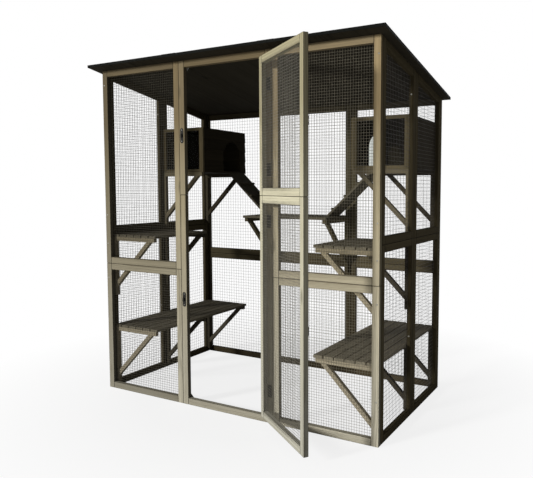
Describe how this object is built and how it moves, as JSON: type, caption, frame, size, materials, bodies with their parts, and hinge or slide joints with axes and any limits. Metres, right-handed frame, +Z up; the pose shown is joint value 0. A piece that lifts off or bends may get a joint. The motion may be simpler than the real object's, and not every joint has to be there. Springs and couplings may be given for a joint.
{
  "type": "cat cage",
  "caption": "Walk-in cat cage of timber frames and welded mesh under a sloping felt roof, with an open hinged door, slatted shelves, raised sleeping boxes and ramps.",
  "frame": {"origin": "middle of the underside of the door's threshold, in the middle of the front wall's thickness", "axes": "+X along the front wall towards the hinge side, +Y from the front wall to the back wall, +Z up"},
  "size_m": [1.7342, 1.2014, 1.7948],
  "materials": {
    "timber": "grey-olive stained softwood, matt",
    "side_timber": "dark olive-brown stained softwood, matt",
    "door_timber": "pale khaki stained softwood, matt",
    "mesh_wire": "dull galvanised welded wire",
    "felt": "black mineral roofing felt, rough",
    "pane": "clear sheet, glossy",
    "black_metal": "black lacquer, satin",
    "bright_metal": "zinc plated, satin"
  },
  "bodies": {
    "cage": {"front_left_lower_frame": "timber", "front_left_upper_frame": "timber", "front_right_lower_frame": "timber", "front_right_upper_frame": "timber", "door_surround_lower": "timber", "door_surround_upper": "timber", "left_front_lower_frame": "side_timber", "left_front_upper_frame": "side_timber", "left_back_lower_frame": "side_timber", "left_back_upper_frame": "side_timber", "right_front_lower_frame": "side_timber", "right_front_upper_frame": "side_timber", "right_back_lower_frame": "side_timber", "right_back_upper_frame": "side_timber", "back_left_lower_frame": "side_timber", "back_left_upper_frame": "side_timber", "back_middle_lower_frame": "side_timber", "back_middle_upper_frame": "side_timber", "back_right_lower_frame": "side_timber", "back_right_upper_frame": "side_timber", "front_mesh": "mesh_wire", "left_mesh": "mesh_wire", "right_mesh": "mesh_wire", "back_mesh": "mesh_wire", "roof_boards": "side_timber", "roof_felt": "felt", "left_lower_shelf": "timber", "left_middle_shelf": "timber", "right_lower_shelf": "timber", "right_middle_shelf": "timber", "back_shelf": "timber", "left_brackets": "timber", "right_brackets": "timber", "back_brackets": "timber", "box_brackets": "timber", "left_box_shell": "timber", "left_box_door_wall": "timber", "left_box_front": "timber", "right_box_shell": "timber", "right_box_door_wall": "timber", "right_box_front": "timber", "box_windows": "pane", "left_ramp": "timber", "right_ramp": "timber", "corner_plates": "bright_metal", "keeper_plates": "bright_metal", "frame_screws": "bright_metal", "hinge_frame_leaves": "black_metal", "hinge_pins": "bright_metal"},
    "door": {"door_leaf_lower": "door_timber", "door_leaf_upper": "door_timber", "door_mesh": "mesh_wire", "hinge_door_leaves": "black_metal", "hasp_plates": "black_metal"},
    "upper_hasp_strap": {"upper_hasp_strap": "bright_metal"},
    "lower_hasp_strap": {"lower_hasp_strap": "black_metal"},
    "upper_turn_button": {"upper_turn_button": "bright_metal"},
    "lower_turn_button": {"lower_turn_button": "black_metal"}
  },
  "joints": [
    {"name": "door_hinge", "type": "hinge", "parent": "cage", "child": "door", "pos_m": [0.24335, -0.0154, 0.885], "axis": [0, 0, 1], "range_deg": [-145, 25]},
    {"name": "upper_hasp_hinge", "type": "hinge", "parent": "door", "child": "upper_hasp_strap", "pos_m": [0.63257, -0.28977, 1.395], "axis": [0, 0, -1], "range_deg": [0, 180]},
    {"name": "lower_hasp_hinge", "type": "hinge", "parent": "door", "child": "lower_hasp_strap", "pos_m": [0.63257, -0.28977, 0.555], "axis": [0, 0, -1], "range_deg": [0, 180]},
    {"name": "upper_button_turn", "type": "hinge", "parent": "cage", "child": "upper_turn_button", "pos_m": [-0.26235, -0.0145, 1.395], "axis": [0, -1, 0], "range_deg": [0, 90]},
    {"name": "lower_button_turn", "type": "hinge", "parent": "cage", "child": "lower_turn_button", "pos_m": [-0.26235, -0.0145, 0.555], "axis": [0, -1, 0], "range_deg": [0, 90]}
  ]
}
